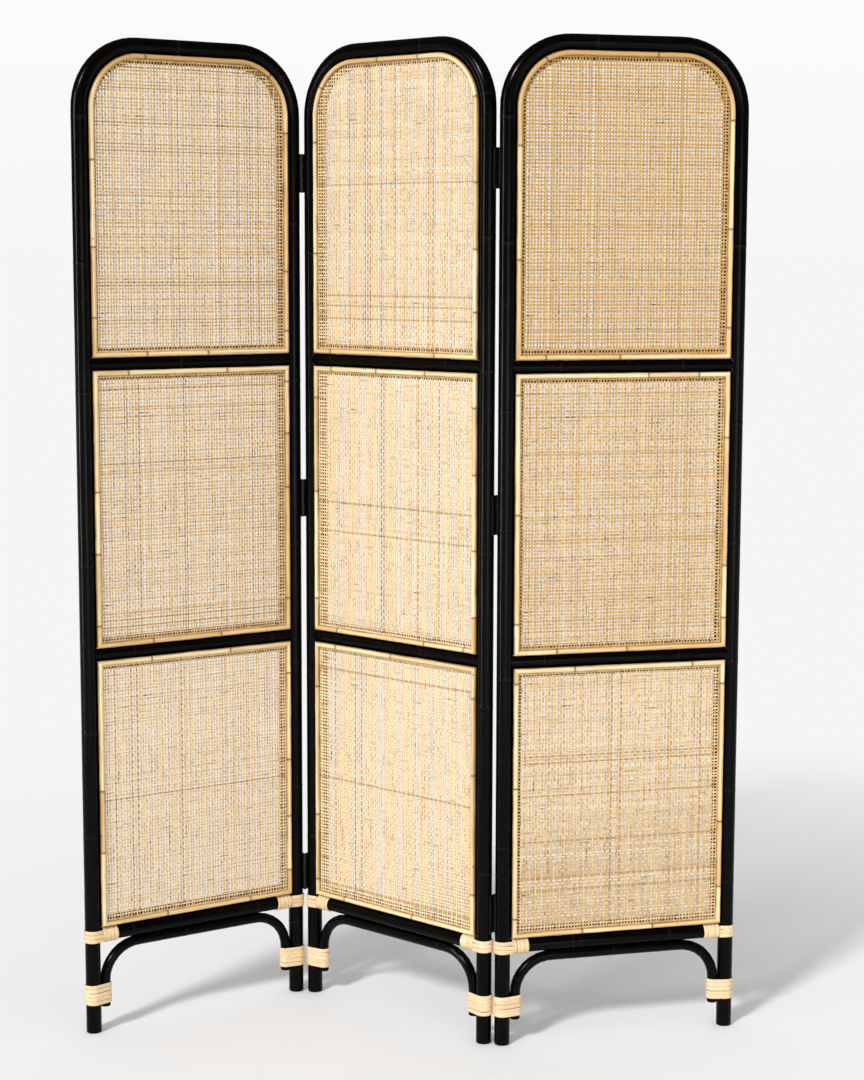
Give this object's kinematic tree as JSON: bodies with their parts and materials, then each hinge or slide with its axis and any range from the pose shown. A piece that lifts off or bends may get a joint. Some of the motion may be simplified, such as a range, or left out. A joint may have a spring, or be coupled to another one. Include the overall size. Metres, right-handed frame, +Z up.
{
  "type": "folding room divider",
  "caption": "Folding screen of bent black rattan poles with round top corners, woven cane fields edged in natural trim, arched feet and wound peel bindings.",
  "frame": {"origin": "on the floor, under the middle of the box round the whole screen as it stands in a zigzag", "axes": "+Z up; +X from the left panel to the right one; -Y is the side the screen is seen from"},
  "size_m": [1.1838, 0.3254, 1.78],
  "materials": {
    "black_rattan": "satin black paint on peeled rattan pole",
    "woven_cane": "natural open-weave cane webbing",
    "natural_rattan": "natural rattan core, half round, clear sealed",
    "rattan_peel": "natural glossy rattan peel",
    "screw_steel": "steel, painted over with the poles",
    "hinge_steel": "black lacquered steel",
    "hinge_screw_steel": "blackened steel"
  },
  "bodies": {
    "left_panel": {"left_pole": "black_rattan", "left_upper_bar": "black_rattan", "left_lower_bar": "black_rattan", "left_bottom_rail": "black_rattan", "left_foot_arch": "black_rattan", "left_upper_backing": "black_rattan", "left_middle_backing": "black_rattan", "left_lower_backing": "black_rattan", "left_upper_cane": "woven_cane", "left_upper_trim": "natural_rattan", "left_middle_cane": "woven_cane", "left_middle_trim": "natural_rattan", "left_lower_cane": "woven_cane", "left_lower_trim": "natural_rattan", "left_rail_bindings": "rattan_peel", "left_foot_bindings": "rattan_peel", "left_frame_screws": "screw_steel", "left_hinge_leaves": "hinge_steel", "left_hinge_pins": "hinge_steel", "left_hinge_screws": "hinge_screw_steel"},
    "middle_panel": {"middle_pole": "black_rattan", "middle_upper_bar": "black_rattan", "middle_lower_bar": "black_rattan", "middle_bottom_rail": "black_rattan", "middle_foot_arch": "black_rattan", "middle_upper_backing": "black_rattan", "middle_middle_backing": "black_rattan", "middle_lower_backing": "black_rattan", "middle_upper_cane": "woven_cane", "middle_upper_trim": "natural_rattan", "middle_middle_cane": "woven_cane", "middle_middle_trim": "natural_rattan", "middle_lower_cane": "woven_cane", "middle_lower_trim": "natural_rattan", "middle_rail_bindings": "rattan_peel", "middle_foot_bindings": "rattan_peel", "middle_frame_screws": "screw_steel", "middle_left_hinge_leaves": "hinge_steel", "middle_right_hinge_leaves": "hinge_steel", "middle_hinge_screws": "hinge_screw_steel"},
    "right_panel": {"right_pole": "black_rattan", "right_upper_bar": "black_rattan", "right_lower_bar": "black_rattan", "right_bottom_rail": "black_rattan", "right_foot_arch": "black_rattan", "right_upper_backing": "black_rattan", "right_middle_backing": "black_rattan", "right_lower_backing": "black_rattan", "right_upper_cane": "woven_cane", "right_upper_trim": "natural_rattan", "right_middle_cane": "woven_cane", "right_middle_trim": "natural_rattan", "right_lower_cane": "woven_cane", "right_lower_trim": "natural_rattan", "right_rail_bindings": "rattan_peel", "right_foot_bindings": "rattan_peel", "right_frame_screws": "screw_steel", "right_hinge_leaves": "hinge_steel", "right_hinge_pins": "hinge_steel", "right_hinge_screws": "hinge_screw_steel"}
  },
  "joints": [
    {"name": "left_panel_hinge", "type": "hinge", "parent": "middle_panel", "child": "left_panel", "pos_m": [-0.20434, 0.13789, 0], "axis": [0, 0, 1], "range_deg": [-21.07, 104.33]},
    {"name": "right_panel_hinge", "type": "hinge", "parent": "middle_panel", "child": "right_panel", "pos_m": [0.1505, -0.13256, 0], "axis": [0, 0, 1], "range_deg": [-1.93, 123.47]}
  ]
}
